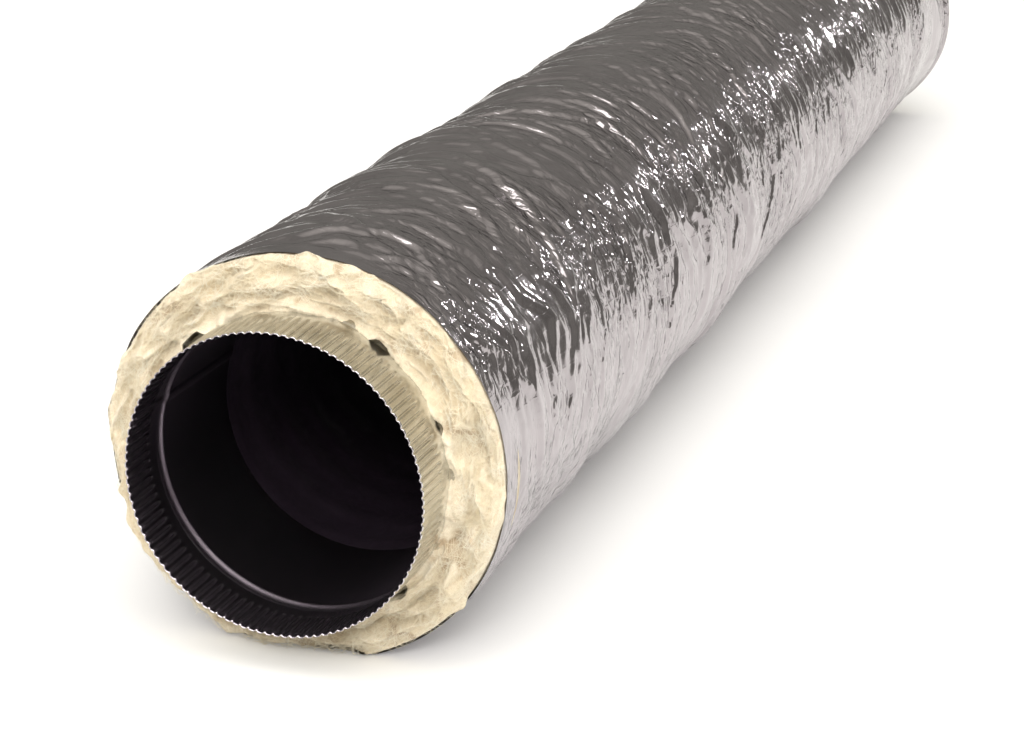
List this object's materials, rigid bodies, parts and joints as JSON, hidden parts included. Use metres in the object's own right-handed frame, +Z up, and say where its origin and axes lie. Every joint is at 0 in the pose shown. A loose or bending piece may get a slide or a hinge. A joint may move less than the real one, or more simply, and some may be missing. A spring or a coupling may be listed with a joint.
{
  "type": "flexible air duct",
  "caption": "Insulated flexible air duct: crimped metal collar, wire-reinforced core, glass-fibre blanket and metallised film jacket, bending and shortening along its length.",
  "frame": {"origin": "on the floor under the duct's axis, halfway along its length", "axes": "+Z up, +Y along the duct from the collar towards the open end, +X to the right when looking along +Y"},
  "size_m": [0.2768, 1.79, 0.2686],
  "materials": {
    "galvanised_steel": "bright galvanised sheet, slightly hazy, mirrors its surroundings",
    "aluminium_tape": "smooth foil tape",
    "stainless_steel": "rolled stainless band",
    "core_film": "thin dark polyester film, satin",
    "spring_wire": "bright drawn spring steel",
    "glass_fibre": "cream glass-fibre wool, loose and layered",
    "metallised_jacket": "metallised polyester film over a glass scrim, finely wrinkled"
  },
  "bodies": {
    "collar_end": {"collar": "galvanised_steel", "foil_tape": "aluminium_tape", "clamp_band": "stainless_steel", "clamp_housing": "stainless_steel", "core_film_01": "core_film", "wire_helix_01": "spring_wire", "blanket_01": "glass_fibre", "jacket_01": "metallised_jacket"},
    "clamp_worm": {"clamp_screw": "stainless_steel"},
    "length_02": {"core_film_02": "core_film", "wire_helix_02": "spring_wire", "blanket_02": "glass_fibre", "jacket_02": "metallised_jacket"},
    "length_03": {"core_film_03": "core_film", "wire_helix_03": "spring_wire", "blanket_03": "glass_fibre", "jacket_03": "metallised_jacket"},
    "length_04": {"core_film_04": "core_film", "wire_helix_04": "spring_wire", "blanket_04": "glass_fibre", "jacket_04": "metallised_jacket"},
    "length_05": {"core_film_05": "core_film", "wire_helix_05": "spring_wire", "blanket_05": "glass_fibre", "jacket_05": "metallised_jacket"},
    "length_06": {"core_film_06": "core_film", "wire_helix_06": "spring_wire", "blanket_06": "glass_fibre", "jacket_06": "metallised_jacket"},
    "length_07": {"core_film_07": "core_film", "wire_helix_07": "spring_wire", "blanket_07": "glass_fibre", "jacket_07": "metallised_jacket"},
    "length_08": {"core_film_08": "core_film", "wire_helix_08": "spring_wire", "blanket_08": "glass_fibre", "jacket_08": "metallised_jacket"},
    "length_09": {"core_film_09": "core_film", "wire_helix_09": "spring_wire", "blanket_09": "glass_fibre", "jacket_09": "metallised_jacket"},
    "length_10": {"core_film_10": "core_film", "wire_helix_10": "spring_wire", "blanket_10": "glass_fibre", "jacket_10": "metallised_jacket"},
    "length_11": {"core_film_11": "core_film", "wire_helix_11": "spring_wire", "blanket_11": "glass_fibre", "jacket_11": "metallised_jacket"},
    "length_12": {"core_film_12": "core_film", "wire_helix_12": "spring_wire", "blanket_12": "glass_fibre", "jacket_12": "metallised_jacket"}
  },
  "joints": [
    {"name": "swing_1", "type": "hinge", "parent": "collar_end", "child": "length_02", "pos_m": [0, -0.785, 0.13016], "axis": [0, 0, 1], "range_deg": [-25, 25]},
    {"name": "lift_1", "type": "hinge", "parent": "length_02", "child": "length_03", "pos_m": [0, -0.64, 0.13016], "axis": [1, 0, 0], "range_deg": [-25, 25]},
    {"name": "squeeze_1", "type": "slide", "parent": "length_03", "child": "length_04", "axis": [0, 1, 0], "range_m": [-0.036, 0.006]},
    {"name": "swing_2", "type": "hinge", "parent": "length_04", "child": "length_05", "pos_m": [0, -0.35, 0.13016], "axis": [0, 0, 1], "range_deg": [-25, 25]},
    {"name": "lift_2", "type": "hinge", "parent": "length_05", "child": "length_06", "pos_m": [0, -0.205, 0.13016], "axis": [1, 0, 0], "range_deg": [-25, 25]},
    {"name": "squeeze_2", "type": "slide", "parent": "length_06", "child": "length_07", "axis": [0, 1, 0], "range_m": [-0.036, 0.006]},
    {"name": "swing_3", "type": "hinge", "parent": "length_07", "child": "length_08", "pos_m": [0, 0.085, 0.13016], "axis": [0, 0, 1], "range_deg": [-25, 25]},
    {"name": "lift_3", "type": "hinge", "parent": "length_08", "child": "length_09", "pos_m": [0, 0.23, 0.13016], "axis": [1, 0, 0], "range_deg": [-25, 25]},
    {"name": "squeeze_3", "type": "slide", "parent": "length_09", "child": "length_10", "axis": [0, 1, 0], "range_m": [-0.036, 0.006]},
    {"name": "swing_4", "type": "hinge", "parent": "length_10", "child": "length_11", "pos_m": [0, 0.52, 0.13016], "axis": [0, 0, 1], "range_deg": [-25, 25]},
    {"name": "lift_4", "type": "hinge", "parent": "length_11", "child": "length_12", "pos_m": [0, 0.665, 0.13016], "axis": [1, 0, 0], "range_deg": [-25, 25]},
    {"name": "clamp_screw_turn", "type": "hinge", "parent": "collar_end", "child": "clamp_worm", "pos_m": [0, -0.807, 0.24061], "axis": [1, 0, 0], "continuous": true}
  ],
  "couplings": [
    {"joint": "squeeze_2", "follows": "squeeze_1", "ratio": 1},
    {"joint": "squeeze_3", "follows": "squeeze_1", "ratio": 1}
  ]
}
